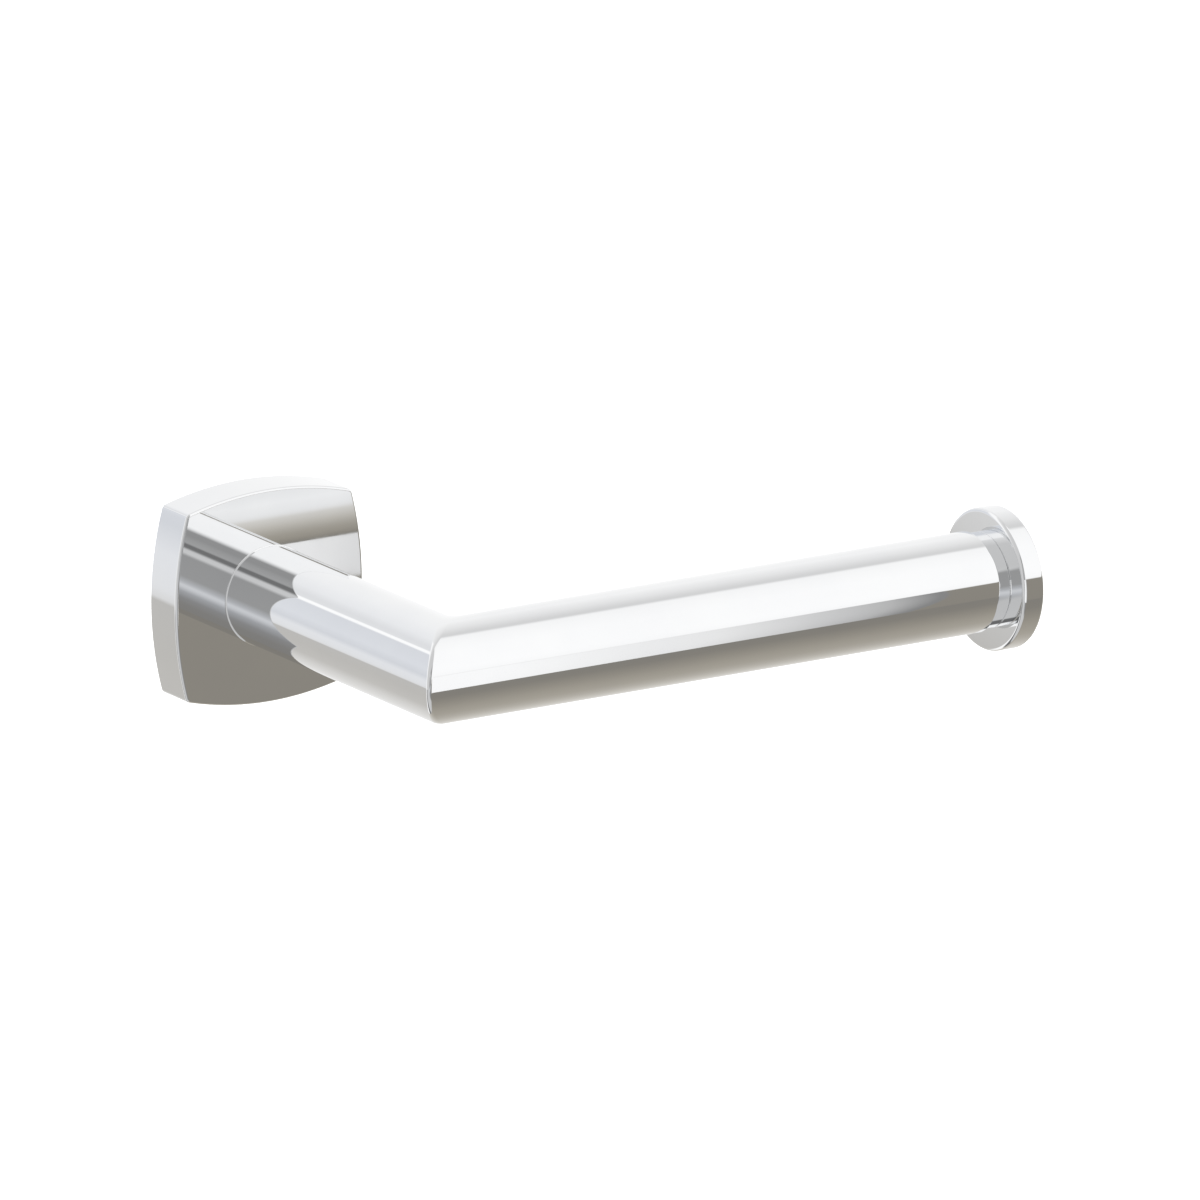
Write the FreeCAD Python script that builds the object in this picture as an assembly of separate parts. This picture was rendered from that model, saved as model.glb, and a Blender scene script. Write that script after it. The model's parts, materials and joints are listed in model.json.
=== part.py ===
"""Wall-mounted toilet paper holder: a square rosette, a post and a roll bar joined by a mitred corner.

Units are millimetres. The origin is the centre of the rosette's back, on the wall. +Z is up, the wall
is the plane Y = 0, the holder stands out towards -Y, and the roll bar runs towards +X.
"""
import FreeCAD, Part
import math
import os

X_AXIS = FreeCAD.Vector(1, 0, 0)
Y_AXIS = FreeCAD.Vector(0, 1, 0)
Z_AXIS = FreeCAD.Vector(0, 0, 1)
ORIGIN = FreeCAD.Vector(0, 0, 0)

# Driving dimensions of the holder
TUBE_RADIUS = 11.0
TUBE_WALL = 1.5
BAR_REACH = 79.0            # wall to the roll bar's axis
BAR_LENGTH = 133.0          # post axis to the end of the bar's tube
MITRE_EDGE_ROUND = 0.5
TUBE_EDGE_ROUND = 0.25

# Rosette: four bowed sides, a flat front and a hollow back
ROSETTE_HALF = 20.6         # centre to each corner, along X and along Z
ROSETTE_BOW = 2.9           # how far the middle of a side stands outside its corners
ROSETTE_DEPTH = 10.0
ROSETTE_FRONT = 3.0
ROSETTE_SIDE = 2.5
ROSETTE_CORNER_ROUND = 1.2
ROSETTE_EDGE_ROUND = 0.8
RIB_WIDTH = 3.0
RIB_OFFSET = 9.0
RIB_BACK = 1.0              # the ribs and the screw boss stop this far from the wall
SCREW_BOSS_WIDTH = 9.0
SCREW_BOSS_TOP = 18.2       # below the post's axis

# Wall bracket: a cast tray with a rim, inside the rosette
BRACKET_HALF = 17.0
BRACKET_DEPTH = 6.3
BRACKET_FLOOR = 2.2
BRACKET_RIM = 2.6
BRACKET_CORNER_ROUND = 1.5
RIB_CLEARANCE = 0.15
GROOVE_DEPTH = 1.2
GROOVE_HALF_WIDTH = 1.3

# Wall screws, one above the other
WALL_SCREW_SPACING = 20.0
WALL_SCREW_RADIUS = 1.9
WALL_SCREW_NECK_RADIUS = 2.1
WALL_SCREW_REACH = 32.0     # how far each goes into the wall
WALL_SCREW_TIP = 5.0
WALL_SCREW_HEAD_RADIUS = 3.7
WALL_SCREW_HEAD_HEIGHT = 2.4
WALL_SCREW_HEAD_ROUND = 1.2
WALL_SCREW_POINT_RADIUS = 0.2
WALL_SCREW_HOLE_RADIUS = 2.25
DRIVE_SLOT_WIDTH = 0.9
DRIVE_SLOT_LENGTH = 4.2
DRIVE_SLOT_DEPTH = 1.4

# Set screw with a swivelling brass tip, under the rosette
SET_SCREW_Y = -3.7
SET_SCREW_RADIUS = 2.0
SET_SCREW_BORE = 2.05
SET_SCREW_LOW = -22.9
SET_SCREW_HIGH = -18.1
SET_SCREW_CHAMFER = 0.3
SET_SCREW_SOCKET_FLATS = 2.0
SET_SCREW_SOCKET_DEPTH = 2.0
TIP_RADIUS = 1.6
TIP_COLLAR = 0.7
TIP_POINT_RADIUS = 0.3
TIP_POINT_HIGH = -16.1
TIP_SHANK_RADIUS = 0.8
TIP_SHANK_BORE = 0.85
TIP_SHANK_LENGTH = 1.6
TIP_GAP = 0.05

# Fasteners that hold the post to the rosette and the disc to the bar: 6 mm thread
THREAD_RADIUS = 3.0
THREAD_BORE = 3.05
CLEAR_HOLE = 3.2
THREAD_CHAMFER = 0.5
POST_BOLT_END = -20.0
POST_BOLT_HEAD_RADIUS = 5.0
POST_BOLT_HEAD_HEIGHT = 3.2
POST_BOLT_HEAD_ROUND = 0.5
POST_BOLT_SOCKET_FLATS = 4.0
POST_BOLT_SOCKET_DEPTH = 2.0
WASHER_RADIUS = 6.0
WASHER_THICKNESS = 0.8
DOWEL_RADIUS = 1.5
DOWEL_BORE = 1.55
DOWEL_CHAMFER = 0.25
DOWEL_OFFSET = 6.2
DOWEL_TOP = -7.7
DOWEL_END = -15.5

# Pieces inside the tubes
PLUG_CLEARANCE = 0.05
PLUG_LENGTH = 13.0
PLUG_CHAMFER = 0.6
CORNER_ARM = 28.0           # from the corner's centre to each arm's end
CORNER_CORE_RADIUS = 5.0
CORNER_CORE_DEPTH = 16.0

# Free end of the bar
GROOVE_RING_RADIUS = 10.4
GROOVE_RING_WIDTH = 3.6
DISC_RADIUS = 15.5
DISC_THICKNESS = 5.4
DISC_EDGE_ROUND = 0.8
STUD_LENGTH = 15.0
STUD_IN_DISC = 3.6
STUD_HOLE_IN_DISC = 4.0
STUD_SOCKET_FLATS = 3.0
STUD_SOCKET_DEPTH = 3.0

# Sizes that follow from the ones above
TUBE_BORE = TUBE_RADIUS - TUBE_WALL
PLUG_RADIUS = TUBE_BORE - PLUG_CLEARANCE
ROSETTE_SIDE_MIDDLE = ROSETTE_HALF + ROSETTE_BOW
CAVITY_DEPTH = ROSETTE_DEPTH - ROSETTE_FRONT
CUT_MARGIN = 1.0
MATCH_TOLERANCE = 0.01      # how close an edge must be to count as the one looked for
OVAL_TOLERANCE = 0.2        # the same for the mitre's oval edges, whose boxes are looser
MITRE_DEGREES = 45.0


def rod(start, direction, radius, length):
    """A plain cylinder from a point, along a direction."""
    return Part.makeCylinder(radius, length, FreeCAD.Vector(*start), direction)


def block(low, high):
    """A box between two opposite corners."""
    size = [high[i] - low[i] for i in range(3)]
    return Part.makeBox(size[0], size[1], size[2], FreeCAD.Vector(*low))


def hexagon_prism(start, direction, across_flats, length):
    """A six-sided prism from a point, along a direction: the space of a hexagon key."""
    corner_radius = across_flats / math.sqrt(3)
    polygon = Part.makePolygon(
        [
            FreeCAD.Vector(
                corner_radius * math.cos(math.radians(60 * i)),
                corner_radius * math.sin(math.radians(60 * i)),
                0,
            )
            for i in range(7)
        ]
    )
    prism = Part.Face(polygon).extrude(Z_AXIS * length)
    prism.Placement = FreeCAD.Placement(
        FreeCAD.Vector(*start), FreeCAD.Rotation(Z_AXIS, direction)
    )
    return prism


def circle_edges(shape, radius, axis, position):
    """The circular edges of one radius whose centre lies at one position along an axis."""
    found = []
    for edge in shape.Edges:
        curve = edge.Curve
        if not isinstance(curve, Part.Circle):
            continue
        if abs(curve.Radius - radius) > MATCH_TOLERANCE:
            continue
        if abs(curve.Center.dot(axis) - position) < MATCH_TOLERANCE:
            found.append(edge)
    return found


def edges_at(shape, axis, position):
    """The edges that lie wholly in the plane at one position along an axis."""
    found = []
    for edge in shape.Edges:
        box = edge.BoundBox
        low = FreeCAD.Vector(box.XMin, box.YMin, box.ZMin).dot(axis)
        high = FreeCAD.Vector(box.XMax, box.YMax, box.ZMax).dot(axis)
        if max(abs(low - position), abs(high - position)) < MATCH_TOLERANCE:
            found.append(edge)
    return found


def bowed_square(half, bow, y):
    """A square outline in the plane Y = y, whose four sides bow outwards as circular arcs."""
    corners = [
        FreeCAD.Vector(-half, y, -half),
        FreeCAD.Vector(half, y, -half),
        FreeCAD.Vector(half, y, half),
        FreeCAD.Vector(-half, y, half),
    ]
    arcs = []
    for i in range(4):
        start = corners[i]
        end = corners[(i + 1) % 4]
        middle = (start + end) * 0.5
        outwards = FreeCAD.Vector(middle.x, 0, middle.z).normalize()
        arcs.append(Part.Arc(start, middle + outwards * bow, end).toShape())
    return Part.Wire(arcs)


def bowed_prism(half, bow, back_y, depth, corner_round):
    """A bowed square, extruded from back_y towards -Y, with its four long edges rounded."""
    face = Part.Face(bowed_square(half, bow, back_y))
    prism = face.extrude(Y_AXIS * -depth)
    long_edges = [edge for edge in prism.Edges if isinstance(edge.Curve, Part.Line)]
    return prism.makeFillet(corner_round, long_edges)


def mitre_cutter(keep_post):
    """A large block on the far side of the mitre plane, from the post's or the bar's view."""
    size = 4 * TUBE_RADIUS
    cutter = Part.makeBox(2 * size, 2 * size, 2 * size, FreeCAD.Vector(-size, -2 * size, -size))
    turn = MITRE_DEGREES if keep_post else MITRE_DEGREES + 180
    cutter.rotate(ORIGIN, Z_AXIS, turn)
    cutter.translate(FreeCAD.Vector(0, -BAR_REACH, 0))
    return cutter


def mitre_edges(shape, radius):
    """The oval edge where a tube of one radius meets the mitre plane."""
    found = []
    for edge in shape.Edges:
        box = edge.BoundBox
        tall = abs(box.ZLength - 2 * radius) < OVAL_TOLERANCE
        slanted = box.XLength > radius and box.YLength > radius
        if tall and slanted:
            found.append(edge)
    return found


def make_rosette():
    """The square rosette: a hollow casting with locating ribs, a boss for the set screw and two holes."""
    shell = bowed_prism(ROSETTE_HALF, ROSETTE_BOW, 0, ROSETTE_DEPTH, ROSETTE_CORNER_ROUND)
    shell = shell.makeFillet(ROSETTE_EDGE_ROUND, edges_at(shell, Y_AXIS, -ROSETTE_DEPTH))
    cavity_half = ROSETTE_HALF - ROSETTE_SIDE
    cavity = bowed_prism(cavity_half, ROSETTE_BOW, CUT_MARGIN, CAVITY_DEPTH + CUT_MARGIN, ROSETTE_CORNER_ROUND)
    shell = shell.cut(cavity)
    seat = BRACKET_HALF + RIB_CLEARANCE
    wall_middle = cavity_half + ROSETTE_BOW + CUT_MARGIN
    ribs = []
    for side in (-1, 1):
        rib_low = side * RIB_OFFSET - RIB_WIDTH / 2
        rib_high = side * RIB_OFFSET + RIB_WIDTH / 2
        ribs.append(block((rib_low, -CAVITY_DEPTH, seat), (rib_high, -RIB_BACK, wall_middle)))
        ribs.append(block((rib_low, -CAVITY_DEPTH, -wall_middle), (rib_high, -RIB_BACK, -seat)))
        ribs.append(block((-wall_middle, -CAVITY_DEPTH, rib_low), (-seat, -RIB_BACK, rib_high)))
        ribs.append(block((seat, -CAVITY_DEPTH, rib_low), (wall_middle, -RIB_BACK, rib_high)))
    half_boss = SCREW_BOSS_WIDTH / 2
    boss = block((-half_boss, -CAVITY_DEPTH, -wall_middle), (half_boss, -RIB_BACK, -SCREW_BOSS_TOP))
    shell = shell.fuse(ribs + [boss]).removeSplitter()
    bore_start = -ROSETTE_SIDE_MIDDLE - CUT_MARGIN
    bore_length = -SCREW_BOSS_TOP + CUT_MARGIN - bore_start
    set_screw_bore = rod((0, SET_SCREW_Y, bore_start), Z_AXIS, SET_SCREW_BORE, bore_length)
    bolt_hole = rod((0, -CAVITY_DEPTH + CUT_MARGIN, 0), -Y_AXIS, CLEAR_HOLE, ROSETTE_FRONT + 2 * CUT_MARGIN)
    dowel_depth = ROSETTE_DEPTH + DOWEL_TOP + CUT_MARGIN
    dowel_hole = rod((0, DOWEL_TOP, DOWEL_OFFSET), -Y_AXIS, DOWEL_BORE, dowel_depth)
    return shell.cut([set_screw_bore, bolt_hole, dowel_hole])


def make_wall_bracket():
    """The cast tray that is screwed to the wall, with a groove under it for the set screw's tip."""
    half = BRACKET_HALF
    tray = block((-half, -BRACKET_DEPTH, -half), (half, 0, half))
    long_edges = [edge for edge in tray.Edges if abs(edge.BoundBox.YLength - BRACKET_DEPTH) < MATCH_TOLERANCE]
    tray = tray.makeFillet(BRACKET_CORNER_ROUND, long_edges)
    inner = half - BRACKET_RIM
    tray = tray.cut(block((-inner, -BRACKET_DEPTH - CUT_MARGIN, -inner), (inner, -BRACKET_FLOOR, inner)))
    for side in (-1, 1):
        z = side * WALL_SCREW_SPACING / 2
        tray = tray.cut(rod((0, CUT_MARGIN, z), -Y_AXIS, WALL_SCREW_HOLE_RADIUS, BRACKET_FLOOR + 2 * CUT_MARGIN))
    groove_points = [
        FreeCAD.Vector(-half - CUT_MARGIN, SET_SCREW_Y - GROOVE_HALF_WIDTH, -half),
        FreeCAD.Vector(-half - CUT_MARGIN, SET_SCREW_Y, -half + GROOVE_DEPTH),
        FreeCAD.Vector(-half - CUT_MARGIN, SET_SCREW_Y + GROOVE_HALF_WIDTH, -half),
        FreeCAD.Vector(-half - CUT_MARGIN, SET_SCREW_Y - GROOVE_HALF_WIDTH, -half),
    ]
    groove = Part.Face(Part.makePolygon(groove_points)).extrude(X_AXIS * 2 * (half + CUT_MARGIN))
    return tray.cut(groove)


def make_wall_screw(z):
    """One wall screw: a domed head with a cross drive, a neck in the bracket, a shank and a point."""
    seat_y = -BRACKET_FLOOR
    head = rod((0, seat_y, z), -Y_AXIS, WALL_SCREW_HEAD_RADIUS, WALL_SCREW_HEAD_HEIGHT)
    top_y = seat_y - WALL_SCREW_HEAD_HEIGHT
    head = head.makeFillet(WALL_SCREW_HEAD_ROUND, circle_edges(head, WALL_SCREW_HEAD_RADIUS, Y_AXIS, top_y))
    neck = rod((0, seat_y, z), Y_AXIS, WALL_SCREW_NECK_RADIUS, BRACKET_FLOOR)
    shank_length = WALL_SCREW_REACH - WALL_SCREW_TIP
    shank = rod((0, 0, z), Y_AXIS, WALL_SCREW_RADIUS, shank_length)
    point = Part.makeCone(
        WALL_SCREW_RADIUS,
        WALL_SCREW_POINT_RADIUS,
        WALL_SCREW_TIP,
        FreeCAD.Vector(0, shank_length, z),
        Y_AXIS,
    )
    screw = head.fuse([neck, shank, point]).removeSplitter()
    slot_bottom = top_y + DRIVE_SLOT_DEPTH
    slots = []
    for half_x, half_z in (
        (DRIVE_SLOT_LENGTH / 2, DRIVE_SLOT_WIDTH / 2),
        (DRIVE_SLOT_WIDTH / 2, DRIVE_SLOT_LENGTH / 2),
    ):
        slots.append(block((-half_x, top_y - CUT_MARGIN, z - half_z), (half_x, slot_bottom, z + half_z)))
    return screw.cut(slots)


def make_wall_screws():
    """The two wall screws, one above the other."""
    half = WALL_SCREW_SPACING / 2
    return Part.makeCompound([make_wall_screw(-half), make_wall_screw(half)])


def make_set_screw():
    """The headless set screw: a hexagon socket below and a bore for the tip's shank above."""
    length = SET_SCREW_HIGH - SET_SCREW_LOW
    body = rod((0, SET_SCREW_Y, SET_SCREW_LOW), Z_AXIS, SET_SCREW_RADIUS, length)
    ends = circle_edges(body, SET_SCREW_RADIUS, Z_AXIS, SET_SCREW_LOW)
    body = body.makeChamfer(SET_SCREW_CHAMFER, ends)
    socket = hexagon_prism(
        (0, SET_SCREW_Y, SET_SCREW_LOW - CUT_MARGIN),
        Z_AXIS,
        SET_SCREW_SOCKET_FLATS,
        SET_SCREW_SOCKET_DEPTH + CUT_MARGIN,
    )
    shank_bore = rod(
        (0, SET_SCREW_Y, SET_SCREW_HIGH - TIP_SHANK_LENGTH - TIP_GAP),
        Z_AXIS,
        TIP_SHANK_BORE,
        TIP_SHANK_LENGTH + TIP_GAP + CUT_MARGIN,
    )
    return body.cut([socket, shank_bore])


def make_set_screw_tip():
    """The brass tip, free to turn on the set screw, with a cone that sits in the bracket's groove."""
    collar_low = SET_SCREW_HIGH + TIP_GAP
    collar = rod((0, SET_SCREW_Y, collar_low), Z_AXIS, TIP_RADIUS, TIP_COLLAR)
    cone_low = collar_low + TIP_COLLAR
    cone = Part.makeCone(
        TIP_RADIUS,
        TIP_POINT_RADIUS,
        TIP_POINT_HIGH - cone_low,
        FreeCAD.Vector(0, SET_SCREW_Y, cone_low),
        Z_AXIS,
    )
    shank = rod((0, SET_SCREW_Y, collar_low), -Z_AXIS, TIP_SHANK_RADIUS, TIP_SHANK_LENGTH)
    return collar.fuse([cone, shank]).removeSplitter()


def make_post_tube():
    """The tube that stands out from the rosette, cut at 45 degrees where it meets the roll bar."""
    start = -ROSETTE_DEPTH
    length = start + BAR_REACH + 2 * TUBE_RADIUS
    outside = rod((0, start, 0), -Y_AXIS, TUBE_RADIUS, length)
    outside = outside.makeFillet(TUBE_EDGE_ROUND, circle_edges(outside, TUBE_RADIUS, Y_AXIS, start))
    outside = outside.cut(mitre_cutter(True))
    outside = outside.makeFillet(MITRE_EDGE_ROUND, mitre_edges(outside, TUBE_RADIUS))
    return outside.cut(rod((0, start + CUT_MARGIN, 0), -Y_AXIS, TUBE_BORE, length + CUT_MARGIN))


def make_bar_tube():
    """The roll bar's tube, cut at 45 degrees where it meets the post."""
    start = -2 * TUBE_RADIUS
    length = BAR_LENGTH - start
    outside = rod((start, -BAR_REACH, 0), X_AXIS, TUBE_RADIUS, length)
    outside = outside.makeFillet(TUBE_EDGE_ROUND, circle_edges(outside, TUBE_RADIUS, X_AXIS, BAR_LENGTH))
    outside = outside.cut(mitre_cutter(False))
    outside = outside.makeFillet(MITRE_EDGE_ROUND, mitre_edges(outside, TUBE_RADIUS))
    return outside.cut(rod((start, -BAR_REACH, 0), X_AXIS, TUBE_BORE, length + CUT_MARGIN))


def make_corner_insert():
    """The cored brass corner inside both tubes, which holds the mitre shut."""
    reach = CORNER_ARM + 2 * TUBE_RADIUS
    back = -BAR_REACH - 2 * TUBE_RADIUS
    post_arm = rod((0, back, 0), Y_AXIS, PLUG_RADIUS, reach).cut(mitre_cutter(True))
    bar_arm = rod((-2 * TUBE_RADIUS, -BAR_REACH, 0), X_AXIS, PLUG_RADIUS, reach).cut(mitre_cutter(False))
    corner = post_arm.fuse(bar_arm).removeSplitter()
    post_end = -BAR_REACH + CORNER_ARM
    ends = circle_edges(corner, PLUG_RADIUS, Y_AXIS, post_end)
    ends += circle_edges(corner, PLUG_RADIUS, X_AXIS, CORNER_ARM)
    corner = corner.makeChamfer(PLUG_CHAMFER, ends)
    post_core = rod((0, post_end + CUT_MARGIN, 0), -Y_AXIS, CORNER_CORE_RADIUS, CORNER_CORE_DEPTH)
    bar_core = rod((CORNER_ARM + CUT_MARGIN, -BAR_REACH, 0), -X_AXIS, CORNER_CORE_RADIUS, CORNER_CORE_DEPTH)
    return corner.cut([post_core, bar_core])


def make_plug(start, direction):
    """A brass plug with a threaded bore along its axis, from a tube's end into the tube."""
    plug = rod(start, direction, PLUG_RADIUS, PLUG_LENGTH)
    inner_end = (FreeCAD.Vector(*start) + direction * PLUG_LENGTH).dot(direction)
    plug = plug.makeChamfer(PLUG_CHAMFER, circle_edges(plug, PLUG_RADIUS, direction, inner_end))
    return plug.cut(rod(start, direction, THREAD_BORE, PLUG_LENGTH))


def make_post_plug():
    """The plug in the wall end of the post, with a second hole for the dowel."""
    plug = make_plug((0, -ROSETTE_DEPTH, 0), -Y_AXIS)
    hole_length = -ROSETTE_DEPTH - DOWEL_END + CUT_MARGIN
    hole = rod((0, DOWEL_END, DOWEL_OFFSET), Y_AXIS, DOWEL_BORE, hole_length)
    return plug.cut(hole)


def make_bar_plug():
    """The plug in the free end of the roll bar."""
    return make_plug((BAR_LENGTH, -BAR_REACH, 0), -X_AXIS)


def make_post_washer():
    """The flat washer under the post bolt's head."""
    outside = rod((0, -CAVITY_DEPTH, 0), Y_AXIS, WASHER_RADIUS, WASHER_THICKNESS)
    return outside.cut(rod((0, -CAVITY_DEPTH, 0), Y_AXIS, CLEAR_HOLE, WASHER_THICKNESS))


def make_post_bolt():
    """The low-headed bolt that pulls the post against the rosette from behind."""
    seat_y = -CAVITY_DEPTH + WASHER_THICKNESS
    top_y = seat_y + POST_BOLT_HEAD_HEIGHT
    head = rod((0, seat_y, 0), Y_AXIS, POST_BOLT_HEAD_RADIUS, POST_BOLT_HEAD_HEIGHT)
    head = head.makeFillet(POST_BOLT_HEAD_ROUND, circle_edges(head, POST_BOLT_HEAD_RADIUS, Y_AXIS, top_y))
    shank = rod((0, seat_y, 0), -Y_AXIS, THREAD_RADIUS, seat_y - POST_BOLT_END)
    shank = shank.makeChamfer(THREAD_CHAMFER, circle_edges(shank, THREAD_RADIUS, Y_AXIS, POST_BOLT_END))
    socket = hexagon_prism(
        (0, top_y + CUT_MARGIN, 0), -Y_AXIS, POST_BOLT_SOCKET_FLATS, POST_BOLT_SOCKET_DEPTH + CUT_MARGIN
    )
    return head.fuse(shank).removeSplitter().cut(socket)


def make_post_dowel():
    """The dowel that stops the post from turning on the rosette."""
    dowel = rod((0, DOWEL_TOP, DOWEL_OFFSET), -Y_AXIS, DOWEL_RADIUS, DOWEL_TOP - DOWEL_END)
    return dowel.makeChamfer(DOWEL_CHAMFER, dowel.Edges)


def make_groove_ring():
    """The ring between the bar and its end disc, a little slimmer than the bar, which leaves a groove."""
    ring = rod((BAR_LENGTH, -BAR_REACH, 0), X_AXIS, GROOVE_RING_RADIUS, GROOVE_RING_WIDTH)
    return ring.cut(rod((BAR_LENGTH, -BAR_REACH, 0), X_AXIS, CLEAR_HOLE, GROOVE_RING_WIDTH))


def make_end_disc():
    """The disc that keeps the roll on the bar, with rounded rims and a blind threaded hole behind."""
    back = BAR_LENGTH + GROOVE_RING_WIDTH
    disc = rod((back, -BAR_REACH, 0), X_AXIS, DISC_RADIUS, DISC_THICKNESS)
    rims = circle_edges(disc, DISC_RADIUS, X_AXIS, back)
    rims += circle_edges(disc, DISC_RADIUS, X_AXIS, back + DISC_THICKNESS)
    disc = disc.makeFillet(DISC_EDGE_ROUND, rims)
    return disc.cut(rod((back, -BAR_REACH, 0), X_AXIS, THREAD_BORE, STUD_HOLE_IN_DISC))


def make_end_stud():
    """The headless stud that joins the disc, the groove ring and the bar's plug."""
    disc_end = BAR_LENGTH + GROOVE_RING_WIDTH + STUD_IN_DISC
    stud = rod((disc_end, -BAR_REACH, 0), -X_AXIS, THREAD_RADIUS, STUD_LENGTH)
    stud = stud.makeChamfer(THREAD_CHAMFER, stud.Edges)
    bar_end = disc_end - STUD_LENGTH
    socket = hexagon_prism(
        (bar_end - CUT_MARGIN, -BAR_REACH, 0), X_AXIS, STUD_SOCKET_FLATS, STUD_SOCKET_DEPTH + CUT_MARGIN
    )
    return stud.cut(socket)


PIECES = {
    "wall_bracket": make_wall_bracket,
    "wall_screws": make_wall_screws,
    "rosette": make_rosette,
    "set_screw": make_set_screw,
    "set_screw_tip": make_set_screw_tip,
    "post_tube": make_post_tube,
    "post_plug": make_post_plug,
    "post_washer": make_post_washer,
    "post_bolt": make_post_bolt,
    "post_dowel": make_post_dowel,
    "corner_insert": make_corner_insert,
    "bar_tube": make_bar_tube,
    "bar_plug": make_bar_plug,
    "groove_ring": make_groove_ring,
    "end_disc": make_end_disc,
    "end_stud": make_end_stud,
}

os.makedirs("parts", exist_ok=True)
for name, make in PIECES.items():
    shape = make()
    shape.exportStep(f"parts/{name}.step")
    box = shape.BoundBox
    print(
        f"{name:15s} solids {len(shape.Solids)} valid {shape.isValid()} volume {shape.Volume:9.1f}"
        f"  x {box.XMin:7.2f} {box.XMax:7.2f}  y {box.YMin:7.2f} {box.YMax:7.2f}"
        f"  z {box.ZMin:7.2f} {box.ZMax:7.2f}"
    )
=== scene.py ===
"""Wall-mounted toilet paper holder: a square rosette, a post and a roll bar in polished chrome.

Metres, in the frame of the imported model: the wall is the plane Y = 0, +Z is up, the holder stands
out towards -Y and the roll bar runs towards +X.
"""

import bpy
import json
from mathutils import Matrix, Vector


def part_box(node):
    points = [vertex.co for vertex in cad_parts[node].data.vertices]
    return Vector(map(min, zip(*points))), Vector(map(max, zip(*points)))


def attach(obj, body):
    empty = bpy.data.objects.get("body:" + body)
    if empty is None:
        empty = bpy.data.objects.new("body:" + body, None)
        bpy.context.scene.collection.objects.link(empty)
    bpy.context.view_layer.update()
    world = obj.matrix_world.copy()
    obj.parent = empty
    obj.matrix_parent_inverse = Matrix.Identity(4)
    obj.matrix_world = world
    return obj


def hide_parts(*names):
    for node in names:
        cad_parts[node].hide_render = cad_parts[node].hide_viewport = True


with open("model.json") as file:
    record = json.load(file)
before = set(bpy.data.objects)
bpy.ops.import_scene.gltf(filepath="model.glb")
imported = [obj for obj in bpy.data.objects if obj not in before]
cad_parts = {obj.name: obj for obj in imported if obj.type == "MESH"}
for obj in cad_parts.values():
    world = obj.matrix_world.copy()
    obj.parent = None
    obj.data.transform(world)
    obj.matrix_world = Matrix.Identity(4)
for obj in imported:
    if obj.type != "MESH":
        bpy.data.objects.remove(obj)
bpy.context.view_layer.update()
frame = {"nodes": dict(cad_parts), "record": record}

import json
import logging
import math
from collections.abc import Sequence
from dataclasses import dataclass, field
from enum import Enum

import bmesh
import bpy
from mathutils import Matrix, Vector

LOG = logging.getLogger("toilet_paper_holder")
MM = 0.001
MERGE = 1e-6
ON_PLANE = 5 * MERGE
PLACE_STEPS = 1e7
CREASE = math.radians(32)
HOLE_FACETS = 64
HOLDER_BODY = "holder"
X_AXIS = Vector((1, 0, 0))
Y_AXIS = Vector((0, 1, 0))
Z_AXIS = Vector((0, 0, 1))


class Slot(Enum):
    """The record's material slots."""

    CHROME = "polished_chrome"
    ZINC = "cast_zinc"
    PLATED = "zinc_plated_steel"
    STEEL = "stainless_steel"
    BRASS = "bare_brass"


class Light(Enum):
    """Which rays a studio piece answers to."""

    SEEN = "seen by the camera, and lit"
    MIRRORED = "seen only in the polished metal"


# ---------------------------------------------------------------- finishes


def new_material(name: str) -> tuple[bpy.types.Material, bpy.types.Node]:
    """Starts a node material with one Principled shader.

    Args:
        name: the material's name.

    Returns:
        The material and its Principled node.
    """
    material = bpy.data.materials.new(name)
    material.use_nodes = True
    shader = next(n for n in material.node_tree.nodes if n.type == "BSDF_PRINCIPLED")
    return material, shader


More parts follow.
